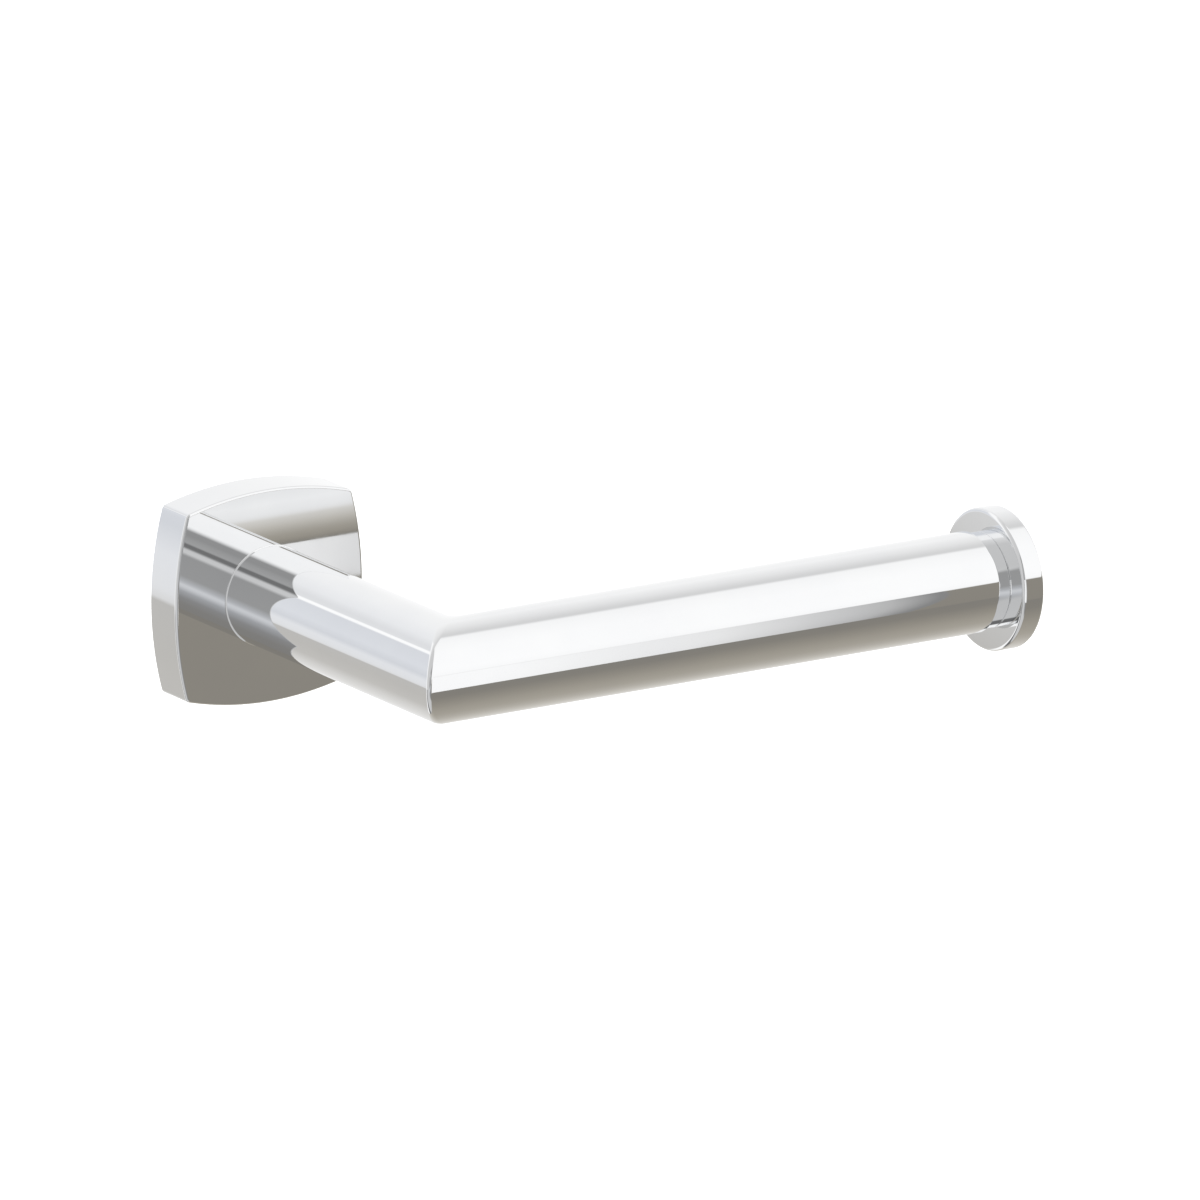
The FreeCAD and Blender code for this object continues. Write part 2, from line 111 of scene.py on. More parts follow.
@dataclass(frozen=True)
class MetalFinish:
    """A bare or plated metal, with unevenness in its colour, roughness and surface.

    Attributes:
        name: the material's name.
        colour: the clean metal.
        smooth: the roughness of the smoothest patches.
        dull: the roughness of the dullest patches.
        patch: the size of a patch.
        relief: the depth of the fine relief.
        stain: the colour of the dullest patches.
        grain: the size of the fine relief's bumps.
        clean_at: the noise value below which the metal is clean and smooth.
        dull_at: the noise value above which it is dull.
        stained_at: the noise value above which it is stained.
        patch_layers: how many finer layers the patches have.
        grain_layers: how many finer layers the relief has.
        falloff: how strong each finer layer is beside the one before.
    """

    name: str
    colour: tuple[float, float, float]
    smooth: float
    dull: float
    patch: float
    relief: float
    stain: tuple[float, float, float]
    grain: float = 0.6 * MM
    clean_at: float = 0.35
    dull_at: float = 0.70
    stained_at: float = 0.72
    patch_layers: float = 4.0
    grain_layers: float = 3.0
    falloff: float = 0.55

    def build(self) -> bpy.types.Material:
        """Makes the material.

        Returns:
            The finished node material.
        """
        material, shader = new_material(self.name)
        tree = material.node_tree
        shader.inputs["Metallic"].default_value = 1.0
        patches = self.noise(tree, self.patch, self.patch_layers)
        spread = tree.nodes.new("ShaderNodeMapRange")
        spread.inputs["From Min"].default_value = self.clean_at
        spread.inputs["From Max"].default_value = self.dull_at
        spread.inputs["To Min"].default_value = self.smooth
        spread.inputs["To Max"].default_value = self.dull
        tree.links.new(patches, spread.inputs["Value"])
        tree.links.new(spread.outputs["Result"], shader.inputs["Roughness"])
        ramp = tree.nodes.new("ShaderNodeValToRGB")
        for stop, position, colour in zip(
            ramp.color_ramp.elements, (self.clean_at, self.stained_at), (self.colour, self.stain)
        ):
            stop.position, stop.color = position, (*colour, 1.0)
        tree.links.new(patches, ramp.inputs["Fac"])
        tree.links.new(ramp.outputs["Color"], shader.inputs["Base Color"])
        bump = tree.nodes.new("ShaderNodeBump")
        bump.inputs["Strength"].default_value = 1.0
        bump.inputs["Distance"].default_value = self.relief
        tree.links.new(self.noise(tree, self.grain, self.grain_layers), bump.inputs["Height"])
        tree.links.new(bump.outputs["Normal"], shader.inputs["Normal"])
        return material

    def noise(self, tree: bpy.types.NodeTree, size: float, detail: float) -> bpy.types.NodeSocket:
        """Adds a noise pattern that stays with the piece.

        Args:
            tree: the material's node tree.
            size: the size of a patch, in metres.
            detail: how many finer layers it has.

        Returns:
            The noise value's socket.
        """
        place = tree.nodes.new("ShaderNodeTexCoord")
        noise = tree.nodes.new("ShaderNodeTexNoise")
        noise.inputs["Scale"].default_value = 1.0 / size
        noise.inputs["Detail"].default_value = detail
        noise.inputs["Roughness"].default_value = self.falloff
        tree.links.new(place.outputs["Object"], noise.inputs["Vector"])
        return noise.outputs["Fac"]


FINISHES: dict[Slot, MetalFinish] = {
    Slot.CHROME: MetalFinish(
        "chrome plate",
        (0.90, 0.905, 0.91),
        0.015,
        0.045,
        patch=14 * MM,
        relief=0.0012 * MM,
        grain=7 * MM,
        stain=(0.88, 0.885, 0.895),
    ),
    Slot.ZINC: MetalFinish(
        "cast zinc",
        (0.46, 0.47, 0.49),
        0.38,
        0.62,
        patch=5 * MM,
        relief=0.05 * MM,
        stain=(0.36, 0.37, 0.38),
    ),
    Slot.PLATED: MetalFinish(
        "zinc plated steel",
        (0.66, 0.67, 0.70),
        0.18,
        0.38,
        patch=2 * MM,
        relief=0.01 * MM,
        stain=(0.62, 0.60, 0.52),
    ),
    Slot.STEEL: MetalFinish(
        "turned stainless steel",
        (0.56, 0.55, 0.53),
        0.16,
        0.34,
        patch=3 * MM,
        relief=0.01 * MM,
        stain=(0.50, 0.50, 0.50),
    ),
    Slot.BRASS: MetalFinish(
        "bare brass",
        (0.72, 0.53, 0.24),
        0.20,
        0.42,
        patch=4 * MM,
        relief=0.015 * MM,
        stain=(0.52, 0.36, 0.16),
    ),
}


@dataclass
class Finishes:
    """The materials of this holder, each made once."""

    made: dict[Slot, bpy.types.Material] = field(default_factory=dict)

    def get(self, slot: Slot) -> bpy.types.Material:
        """Returns a slot's material, and makes it the first time."""
        if slot not in self.made:
            self.made[slot] = FINISHES[slot].build()
        return self.made[slot]


# ---------------------------------------------------------------- mesh helpers


def mark_edges(bm: bmesh.types.BMesh, crease: float = CREASE) -> None:
    """Shades every face smooth, and keeps the edges sharper than a crease angle.

    Args:
        bm: the mesh.
        crease: the smallest angle between two faces that stays sharp, in radians.
    """
    for face in bm.faces:
        face.smooth = True
    for edge in bm.edges:
        edge.smooth = not (edge.is_manifold and edge.calc_face_angle(0.0) > crease)


def weigh(thing: bpy.types.Object) -> None:
    """Makes a piece's shading follow its larger faces, and keeps its sharp edges."""
    modifier = thing.modifiers.new("face weights", "WEIGHTED_NORMAL")
    modifier.keep_sharp = True
    modifier.weight = 100


def to_object(
    name: str, bm: bmesh.types.BMesh, material: bpy.types.Material, weighted: bool = True
) -> bpy.types.Object:
    """Turns a finished bmesh into an object at the origin.

    Args:
        name: the piece's name.
        bm: the mesh, which is freed.
        material: its material.
        weighted: whether the shading follows the larger faces.

    Returns:
        The new object, linked to the scene.
    """
    bmesh.ops.remove_doubles(bm, verts=bm.verts, dist=MERGE)
    bmesh.ops.recalc_face_normals(bm, faces=bm.faces)
    mark_edges(bm)
    mesh = bpy.data.meshes.new(name)
    bm.to_mesh(mesh)
    bm.free()
    mesh.materials.append(material)
    thing = bpy.data.objects.new(name, mesh)
    bpy.context.scene.collection.objects.link(thing)
    if weighted:
        weigh(thing)
    return thing


def turned(
    profile: Sequence[tuple[float, float]],
    start: Vector,
    axis: Vector,
    rounds: dict[int, float],
    segments: int,
    round_steps: int = 6,
) -> bmesh.types.BMesh:
    """Turns an outline round an axis, as on a lathe.

    Args:
        profile: pairs of a distance along the axis and a radius, from one end to the other.
        start: the point that the distances start from.
        axis: the direction of the axis.
        rounds: the profile corners that are rounded, each with the length cut off its two sides.
        segments: how many facets go round.
        round_steps: how many facets each rounded corner has.

    Returns:
        The closed mesh.
    """
    bm = bmesh.new()
    side = axis.orthogonal().normalized()
    points = [bm.verts.new(start + axis * along + side * radius) for along, radius in profile]
    for first, second in zip(points, points[1:]):
        bm.edges.new((first, second))
    for corner, size in rounds.items():
        bmesh.ops.bevel(
            bm,
            geom=[points[corner]],
            offset=size,
            offset_type="OFFSET",
            segments=round_steps,
            profile=0.5,
            affect="VERTICES",
            material=-1,
            clamp_overlap=True,
        )
    bmesh.ops.spin(
        bm,
        geom=bm.verts[:] + bm.edges[:],
        cent=start,
        axis=axis,
        dvec=(0, 0, 0),
        angle=2 * math.pi,
        steps=segments,
        use_merge=True,
    )
    bmesh.ops.remove_doubles(bm, verts=bm.verts, dist=MERGE)
    return bm


def bored(target: bpy.types.Object, start: Vector, axis: Vector, radius: float, length: float) -> None:
    """Drills a round hole into a piece.

    Args:
        target: the piece, whose mesh is replaced.
        start: the drill's starting point.
        axis: the drilling direction.
        radius: the hole's radius.
        length: how far the drill goes.
    """
    drill = bmesh.new()
    turn = Z_AXIS.rotation_difference(axis).to_matrix().to_4x4()
    bmesh.ops.create_cone(
        drill,
        cap_ends=True,
        segments=HOLE_FACETS,
        radius1=radius,
        radius2=radius,
        depth=length,
        matrix=Matrix.Translation(start + axis * length / 2) @ turn,
    )
    mesh = bpy.data.meshes.new("drill")
    drill.to_mesh(mesh)
    drill.free()
    tool = bpy.data.objects.new("drill", mesh)
    bpy.context.scene.collection.objects.link(tool)
    cut = target.modifiers.new("bore", "BOOLEAN")
    cut.operation, cut.solver, cut.object = "DIFFERENCE", "EXACT", tool
    bpy.context.view_layer.update()
    done = target.evaluated_get(bpy.context.evaluated_depsgraph_get())
    result = bpy.data.meshes.new_from_object(done)
    target.modifiers.clear()
    old = target.data
    target.data = result
    bpy.data.meshes.remove(old)
    bpy.data.objects.remove(tool)
    bpy.data.meshes.remove(mesh)
    again = bmesh.new()
    again.from_mesh(result)
    mark_edges(again)
    again.to_mesh(result)
    again.free()
    weigh(target)


def settle(
    thing: bpy.types.Object, nodes: Sequence[str] = (), body: str = HOLDER_BODY
) -> bpy.types.Object:
    """Puts a finished piece on its body, in place of its nodes.

    Args:
        thing: the piece.
        nodes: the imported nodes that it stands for, none for a piece that is added to them.
        body: the body that it moves with.

    Returns:
        The same piece.
    """
    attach(thing, body)
    if nodes:
        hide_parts(*nodes)
    LOG.info("%s: %d faces, on %s", thing.name, len(thing.data.polygons), body)
    return thing


# ---------------------------------------------------------------- rosette


@dataclass
class Rosette:
    """The square rosette: bowed sides, a flat front and a hollow back with ribs."""

    finishes: Finishes
    corner: float = 20.6 * MM
    bow: float = 2.9 * MM
    side: float = 2.5 * MM
    front: float = 3.0 * MM
    corner_cut: float = 0.68 * MM
    rim_round: float = 0.6 * MM
    arc_steps: int = 36
    round_steps: int = 6
    rib_width: float = 3.0 * MM
    rib_offset: float = 9.0 * MM
    rib_back: float = 1.0 * MM
    rib_clearance: float = 0.15 * MM
    boss_width: float = 9.0 * MM
    rib_bevel: float = 0.25 * MM
    boss_top: float = 18.2 * MM
    bore_radius: float = 2.05 * MM
    depth: float = field(init=False)
    bracket_half: float = field(init=False)
    bore_y: float = field(init=False)

    def __post_init__(self) -> None:
        """Takes the depth, the bracket's half width and the set screw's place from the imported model."""
        low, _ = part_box("rosette")
        self.depth = -low.y
        self.bracket_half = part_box("wall_bracket")[1].x
        self.bore_y = (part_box("set_screw")[0].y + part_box("set_screw")[1].y) / 2

    def outline(self, bm: bmesh.types.BMesh, corner: float, y: float) -> bmesh.types.BMFace:
        """Draws a square with bowed sides and rounded corners, and fills it.

        Args:
            bm: the mesh to draw in.
            corner: the distance from the centre to each corner, along X and Z.
            y: the plane that it lies in.

        Returns:
            The filled face.
        """
        radius = (corner**2 + self.bow**2) / (2 * self.bow)
        middle = corner + self.bow - radius
        stand = Matrix.Translation((0, y, 0)) @ Matrix.Rotation(math.pi / 2, 4, "X")
        square = bmesh.ops.create_circle(
            bm,
            cap_ends=True,
            segments=4,
            radius=corner * math.sqrt(2),
            matrix=stand @ Matrix.Rotation(math.pi / 4, 4, "Z"),
        )["verts"]
        sides = list({e for v in square for e in v.link_edges})
        face = sides[0].link_faces[0]
        bmesh.ops.bisect_edges(bm, edges=sides, cuts=self.arc_steps - 1)
        tips = []
        for vert in face.verts:
            x, z = vert.co.x, vert.co.z
            if abs(abs(x) - abs(z)) < MERGE:
                tips.append(vert)
            elif abs(z) > abs(x):
                vert.co.z = math.copysign(middle + math.sqrt(radius**2 - x**2), z)
            else:
                vert.co.x = math.copysign(middle + math.sqrt(radius**2 - z**2), x)
        bmesh.ops.bevel(
            bm,
            geom=tips,
            offset=self.corner_cut,
            offset_type="OFFSET",
            segments=self.round_steps,
            profile=0.5,
            affect="VERTICES",
            material=-1,
            clamp_overlap=True,
        )
        flat = (f for f in bm.faces if abs(f.calc_center_median().y - y) < MERGE)
        return max(flat, key=lambda f: len(f.verts))

    def shell(self) -> bpy.types.Object:
        """Builds the hollow shell with its bowed sides, and drills the set screw's hole.

        Returns:
            The shell.
        """
        bm = bmesh.new()
        back = self.outline(bm, self.corner, 0.0)
        rim = self.push(bm, back, self.depth)
        bmesh.ops.bevel(
            bm,
            geom=list(rim.edges),
            offset=self.rim_round,
            offset_type="OFFSET",
            segments=self.round_steps,
            profile=0.5,
            affect="EDGES",
            material=-1,
            clamp_overlap=False,
        )
        outer = [e for e in bm.edges if e.is_boundary and e.verts[0].co.y > -MERGE]
        inner_face = self.outline(bm, self.corner - self.side, 0.0)
        inner = list(inner_face.edges)
        self.push(bm, inner_face, self.depth - self.front)
        bmesh.ops.triangle_fill(bm, edges=outer + inner, use_beauty=True, normal=Y_AXIS)
        shell = to_object("rosette_shell", bm, self.finishes.get(Slot.CHROME))
        self.bore(shell)
        return shell

    def bore(self, piece: bpy.types.Object) -> None:
        """Drills the set screw's hole up through the lower side, as far as the bracket."""
        start = -(self.corner + self.bow + self.depth)
        bored(piece, Vector((0, self.bore_y, start)), Z_AXIS, self.bore_radius, -start - self.bracket_half)

    @staticmethod
    def push(bm: bmesh.types.BMesh, face: bmesh.types.BMFace, depth: float) -> bmesh.types.BMFace:
        """Extrudes a face towards -Y and leaves its starting side open.

        Args:
            bm: the mesh.
            face: the face to extrude.
            depth: how far it goes.

        Returns:
            The face at the far end.
        """
        result = bmesh.ops.extrude_face_region(bm, geom=[face])["geom"]
        moved = [v for v in result if isinstance(v, bmesh.types.BMVert)]
        bmesh.ops.translate(bm, verts=moved, vec=(0, -depth, 0))
        far = next(f for f in result if isinstance(f, bmesh.types.BMFace))
        if face.is_valid:
            bmesh.ops.delete(bm, geom=[face], context="FACES_ONLY")
        return far

    def ribs(self) -> bpy.types.Object:
        """Builds the ribs that centre the rosette on its bracket, and the set screw's boss.

        Returns:
            The ribs and boss, as one casting.
        """
        bm = bmesh.new()
        seat = self.bracket_half + self.rib_clearance
        wall = self.corner - self.side + self.bow
        cavity = self.depth - self.front
        deep = cavity - self.rib_back
        middle_y = -(cavity + self.rib_back) / 2
        for quarter in range(4):
            turn = Matrix.Rotation(quarter * math.pi / 2, 4, "Y")
            for offset in (-self.rib_offset, self.rib_offset):
                size = Matrix.Diagonal((self.rib_width, deep, wall - seat, 1))
                place = Matrix.Translation((offset, middle_y, (wall + seat) / 2))
                bmesh.ops.create_cube(bm, size=1.0, matrix=turn @ place @ size)
        size = Matrix.Diagonal((self.boss_width, deep, wall - self.boss_top, 1))
        place = Matrix.Translation((0, middle_y, -(wall + self.boss_top) / 2))
        bmesh.ops.create_cube(bm, size=1.0, matrix=place @ size)
        bmesh.ops.bevel(
            bm,
            geom=bm.edges[:],
            offset=self.rib_bevel,
            offset_type="OFFSET",
            segments=3,
            profile=0.5,
            affect="EDGES",
            material=-1,
            clamp_overlap=True,
        )
        ribs = to_object("rosette_ribs", bm, self.finishes.get(Slot.CHROME))
        self.bore(ribs)
        return ribs

    def build(self) -> None:
        """Builds the shell and the ribs."""
        settle(self.shell(), ["rosette"])
        settle(self.ribs(), ["rosette"])


# ---------------------------------------------------------------- tubes


@dataclass
class MitredTubes:
    """The post and the roll bar: two tubes brazed at a mitre, and polished over as one."""

    finishes: Finishes
    wall: float = 1.5 * MM
    outer_blend: float = 0.9 * MM
    inner_blend: float = 3.2 * MM
    blend_steps: int = 16
    bead_size: float = 0.25 * MM
    bead_steps: int = 4
    segments: int = 192
    radius: float = field(init=False)
    reach: float = field(init=False)
    post_start: float = field(init=False)
    bar_end: float = field(init=False)

    def __post_init__(self) -> None:
        """Takes the tubes' radius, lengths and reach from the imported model."""
        low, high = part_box("bar_tube")
        self.radius = (high.z - low.z) / 2
        ring_low, ring_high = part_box("groove_ring")
        self.reach = -(ring_low.y + ring_high.y) / 2
        self.post_start = -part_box("post_tube")[1].y
        self.bar_end = ring_low.x

    def sleeve(self, radius: float, steps: int) -> bmesh.types.BMesh:
        """Draws both tubes' walls at one radius, ring by ring through the corner.

        Each line along the post turns into its line along the bar through an arc of its own, small
        on the outside of the corner and wider on the inside. The blended skin starts with a bead.

        Args:
            radius: the wall's radius.
            steps: how many facets the corner's arcs have, or 0 for a sharp mitre.

        Returns:
            The open skin, from the post's start to the bar's end.
        """
        bm = bmesh.new()
        across = bm.verts.layers.float.new("across")
        stand = Matrix.Translation((0, -self.post_start, 0)) @ Matrix.Rotation(math.pi / 2, 4, "X")
        ring = bmesh.ops.create_circle(
            bm, cap_ends=False, segments=self.segments, radius=radius, matrix=stand
        )["verts"]
        for vert in ring:
            vert[across] = vert.co.x
        edges = list({e for v in ring for e in v.link_edges})
        if steps:
            edges = self.bead(bm, edges, ring, radius)
        for k in range(steps + 1):
            turn = math.pi / 2 * k / max(steps, 1)
            edges, ring = self.next_ring(bm, edges)
            for vert in ring:
                x = vert[across]
                inward = 0.5 + 0.5 * math.sin(math.pi / 2 * x / radius)
                size = (self.outer_blend + (self.inner_blend - self.outer_blend) * inward) if steps else 0.0
                corner = Vector((x, x - self.reach, vert.co.z))
                vert.co = corner + size * Vector((1 - math.cos(turn), 1 - math.sin(turn), 0))
        edges, ring = self.next_ring(bm, edges)
        for vert in ring:
            vert.co = (self.bar_end, vert[across] - self.reach, vert.co.z)
        return bm

    def bead(
        self,
        bm: bmesh.types.BMesh,
        edges: list[bmesh.types.BMEdge],
        ring: list[bmesh.types.BMVert],
        radius: float,
    ) -> list[bmesh.types.BMEdge]:
        """Flares the post's first ring, and draws it in along a hollow arc.

        Args:
            bm: the mesh.
            edges: the first ring's edges.
            ring: the first ring's vertices.
            radius: the post's radius.

        Returns:
            The edges of the arc's last ring.
        """
        for k in range(self.bead_steps + 1):
            turn = math.pi / 2 * k / self.bead_steps
            if k:
                edges, ring = self.next_ring(bm, edges)
            for vert in ring:
                grow = (radius + self.bead_size * (1 - math.sin(turn))) / math.hypot(vert.co.x, vert.co.z)
                back = self.post_start + self.bead_size * (1 - math.cos(turn))
                vert.co = (vert.co.x * grow, -back, vert.co.z * grow)
        return edges

    @staticmethod
    def next_ring(
        bm: bmesh.types.BMesh, edges: list[bmesh.types.BMEdge]
    ) -> tuple[list[bmesh.types.BMEdge], list[bmesh.types.BMVert]]:
        """Extrudes an open rim in place.

        Args:
            bm: the mesh.
            edges: the rim.

        Returns:
            The new rim's edges and vertices.
        """
        grown = bmesh.ops.extrude_edge_only(bm, edges=edges)["geom"]
        verts = [v for v in grown if isinstance(v, bmesh.types.BMVert)]
        rim = [e for e in grown if isinstance(e, bmesh.types.BMEdge) and all(v in verts for v in e.verts)]
        return rim, verts

    def on_mitre(self, point: Vector) -> float:
        """Returns how far a point lies from the mitre plane, positive on the bar's side."""
        return (point.x - (point.y + self.reach)) / math.sqrt(2)

    def build(self) -> None:
        """Builds the two tubes with their blended corner, and splits them at the mitre."""
        whole = self.sleeve(self.radius, self.blend_steps)
        bmesh.ops.recalc_face_normals(whole, faces=whole.faces)
        first = next(f for f in whole.faces if self.on_mitre(f.calc_center_median()) < -self.radius)
        middle = first.calc_center_median()
        if first.normal.dot(middle - Vector((0, middle.y, 0))) < 0:
            bmesh.ops.reverse_faces(whole, faces=whole.faces)
        shading = {}
        for vert in whole.verts:
            total = sum((f.normal * f.calc_area() for f in vert.link_faces), Vector())
            shading[self.key(vert.co)] = total.normalized()
        chrome = self.finishes.get(Slot.CHROME)
        for node, side in (("post_tube", -1), ("bar_tube", 1)):
            tube = to_object(node + "_skin", self.half(whole, side), chrome, weighted=False)
            self.shade(tube, shading)
            settle(tube, [node])
        whole.free()

    @staticmethod
    def key(point: Vector) -> tuple[int, int, int]:
        """Returns a point's place to a tenth of a micrometre."""
        return tuple(round(c * PLACE_STEPS) for c in point)

    def half(self, whole: bmesh.types.BMesh, side: int) -> bmesh.types.BMesh:
        """Takes one tube from the joined pair, gives it its bore and closes its ends.

        Args:
            whole: the joined pair.
            side: -1 for the post, 1 for the bar.

        Returns:
            The closed tube.
        """
        bm = whole.copy()
        bore = self.sleeve(self.radius - self.wall, 0)
        spare = bpy.data.meshes.new("bore")
        bore.to_mesh(spare)
        bore.free()
        bm.from_mesh(spare)
        bpy.data.meshes.remove(spare)
        past = [f for f in bm.faces if self.on_mitre(f.calc_center_median()) * side < 0]
        bmesh.ops.delete(bm, geom=past, context="FACES")
        for at_mitre in (True, False):
            rims = [
                e
                for e in bm.edges
                if e.is_boundary and all(abs(self.on_mitre(v.co)) < ON_PLANE for v in e.verts) == at_mitre
            ]
            bmesh.ops.triangle_fill(bm, edges=rims, use_beauty=True)
        return bm

    def shade(self, tube: bpy.types.Object, shading: dict[tuple[int, int, int], Vector]) -> None:
        """Gives a tube's outside the joined pair's normals, so that no line shows at the mitre.

        Args:
            tube: the tube.
            shading: the joined pair's normals, by place.
        """
        mesh = tube.data
        normals = [Vector(n.vector) for n in mesh.corner_normals]
        for face in mesh.polygons:
            for corner in face.loop_indices:
                smooth = shading.get(self.key(mesh.vertices[mesh.loops[corner].vertex_index].co))
                if smooth is not None and smooth.dot(face.normal) > math.cos(CREASE):
                    normals[corner] = smooth
        mesh.normals_split_custom_set(normals)


# ---------------------------------------------------------------- free end


@dataclass
class FreeEnd:
    """The bar's free end: the slim ring behind the disc, and the disc that keeps the roll on."""

    finishes: Finishes
    hole_radius: float = 3.2 * MM
    ring_round: float = 0.25 * MM
    ring_steps: int = 3
    disc_round: float = 0.8 * MM
    disc_steps: int = 8
    segments: int = 192

    def lathe(self, low: Vector, high: Vector, hole: float, size: float, steps: int) -> bmesh.types.BMesh:
        """Turns one round piece to its packed size, and rounds its two outer corners.

        Args:
            low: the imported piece's lowest corner.
            high: its highest corner.
            hole: the radius of its hole, or 0 for a solid piece.
            size: how much each rounded corner takes.
            steps: how many facets a rounded corner has.

        Returns:
            The closed mesh.
        """
        radius, width = (high.z - low.z) / 2, high.x - low.x
        start = Vector((low.x, (low.y + high.y) / 2, 0))
        profile = [(0, hole), (0, radius), (width, radius), (width, hole)]
        if hole:
            profile.append(profile[0])
        return turned(profile, start, X_AXIS, {1: size, 2: size}, self.segments, steps)

    def build(self) -> None:
        """Builds the ring and the disc."""
        chrome = self.finishes.get(Slot.CHROME)
        low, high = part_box("groove_ring")
        bm = self.lathe(low, high, self.hole_radius, self.ring_round, self.ring_steps)
        settle(to_object("neck_ring", bm, chrome), ["groove_ring"])
        low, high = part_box("end_disc")
        bm = self.lathe(low, high, 0.0, self.disc_round, self.disc_steps)
        settle(to_object("roll_stop_disc", bm, chrome), ["end_disc"])


# ---------------------------------------------------------------- wall screws


@dataclass
class WallScrewThreads:
    """The rolled threads of the two wall screws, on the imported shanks."""

    finishes: Finishes
    spacing: float = 20.0 * MM
    shank: float = 1.9 * MM
    tip: float = 5.0 * MM
    point: float = 0.2 * MM
    start: float = 3.0 * MM
    pitch: float = 1.8 * MM
    height: float = 0.34 * MM
    foot: float = 0.62 * MM
    root: float = 0.15 * MM
    steps: int = 36

    def thread(self, z: float, reach: float) -> bpy.types.Object:
        """Winds one thread round its shank, running out at the start and towards the point.

        Args:
            z: the height of the screw's axis.
            reach: how far the screw goes into the wall.

        Returns:
            The thread.
        """
        bm = bmesh.new()
        axis = Vector((0, 0, z))
        bmesh.ops.create_circle(
            bm,
            cap_ends=False,
            segments=3,
            radius=self.foot / math.sqrt(3),
            matrix=Matrix.Translation((self.shank, self.start, z)) @ Matrix.Rotation(-math.pi / 2, 4, "Z"),
        )
        tall = max(v.co.x for v in bm.verts)
        for vert in bm.verts:
            vert.co.x = self.shank + (self.height if vert.co.x > tall - MERGE else -self.root)
        turns = (reach - self.point * 2 - self.start - self.foot) / self.pitch
        count = round(turns * self.steps)
        bmesh.ops.spin(
            bm,
            geom=bm.verts[:] + bm.edges[:],
            cent=axis,
            axis=Y_AXIS,
            dvec=Y_AXIS * self.pitch / self.steps,
            angle=2 * math.pi * count / self.steps,
            steps=count,
        )
        bmesh.ops.holes_fill(bm, edges=[e for e in bm.edges if e.is_boundary], sides=3)
        for vert in bm.verts:
            out = Vector((vert.co.x, 0, vert.co.z - z))
            past = max(0.0, (vert.co.y - (reach - self.tip)) / self.tip)
            core = self.shank + (self.point - self.shank) * past
            begun = min(1.0, max(0.0, (vert.co.y - self.start) / self.pitch))
            rise = (out.length - self.shank) * (1 - past) * begun - self.root * (1 - begun)
            out = out.normalized() * max(core + rise, self.point / 2)
            vert.co = (out.x, vert.co.y, z + out.z)
        name = "upper_screw_thread" if z > 0 else "lower_screw_thread"
        return to_object(name, bm, self.finishes.get(Slot.PLATED), weighted=False)

    def build(self) -> None:
        """Winds both threads."""
        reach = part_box("wall_screws")[1].y
        for side in (1, -1):
            settle(self.thread(side * self.spacing / 2, reach))


# ---------------------------------------------------------------- carried-over nodes


@dataclass
class HiddenFittings:
    """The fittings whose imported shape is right, which only get their finish."""

    finishes: Finishes

    def build(self) -> None:
        """Gives each node that is still shown the material of its slot in the record."""
        slots = {part["node"]: Slot(part["material_slot"]) for part in frame["record"]["subparts"]}
        for name, node in frame["nodes"].items():
            material = self.finishes.get(slots[name])
            node.data.materials.clear()
            node.data.materials.append(material)
            LOG.info("%s: %s", name, material.name)


# ---------------------------------------------------------------- studio


@dataclass(frozen=True)
class Band:
    """One stop of the studio's brightness, at an angle in degrees."""

    angle: float
    grey: float
    warmth: float = 0.0


def studio_colour(grey: float, warmth: float, gain: float) -> tuple[float, float, float, float]:
    """Works out a studio colour from its grey as displayed.

    Args:
        grey: the displayed grey, from 0 to 255.
        warmth: how far it leans from blue towards yellow, in the same steps.
        gain: a factor for what the metal swallows.

    Returns:
        The linear colour.
    """
    shown = (grey + warmth / 2, grey, grey - warmth)
    linear = [gain * ((c / 255 + 0.055) / 1.055) ** 2.4 for c in shown]
    return (*linear, 1.0)


def rays(thing: bpy.types.Object, light: Light) -> None:
    """Says which rays a studio piece answers to."""
    seen = light is Light.SEEN
    thing.visible_camera = thing.visible_diffuse = thing.visible_shadow = seen
    thing.visible_glossy = not seen


def fill_ramp(node: bpy.types.Node, stops: Sequence[tuple[float, tuple[float, ...]]]) -> None:
    """Sets a new colour ramp's stops.

    Args:
        node: the colour ramp.
        stops: each stop's position, from low to high, and its colour.
    """
    elements = node.color_ramp.elements
    while len(elements) < len(stops):
        elements.new(0.5)
    for element in elements:
        element.position = 0.0
    for element, (position, colour) in zip(reversed(list(elements)), reversed(stops)):
        element.position, element.color = position, colour


def studio_piece(
    name: str, bm: bmesh.types.BMesh, material: bpy.types.Material, light: Light
) -> bpy.types.Object:
    """Turns a mesh into a piece of the studio.

    Args:
        name: the piece's name.
        bm: its mesh, which is freed.
        material: its material.
        light: the rays that it answers to.

    Returns:
        The new object, linked to the scene.
    """
    mesh = bpy.data.meshes.new(name)
    bm.to_mesh(mesh)
    bm.free()
    mesh.materials.append(material)
    piece = bpy.data.objects.new(name, mesh)
    bpy.context.scene.collection.objects.link(piece)
    rays(piece, light)
    return piece


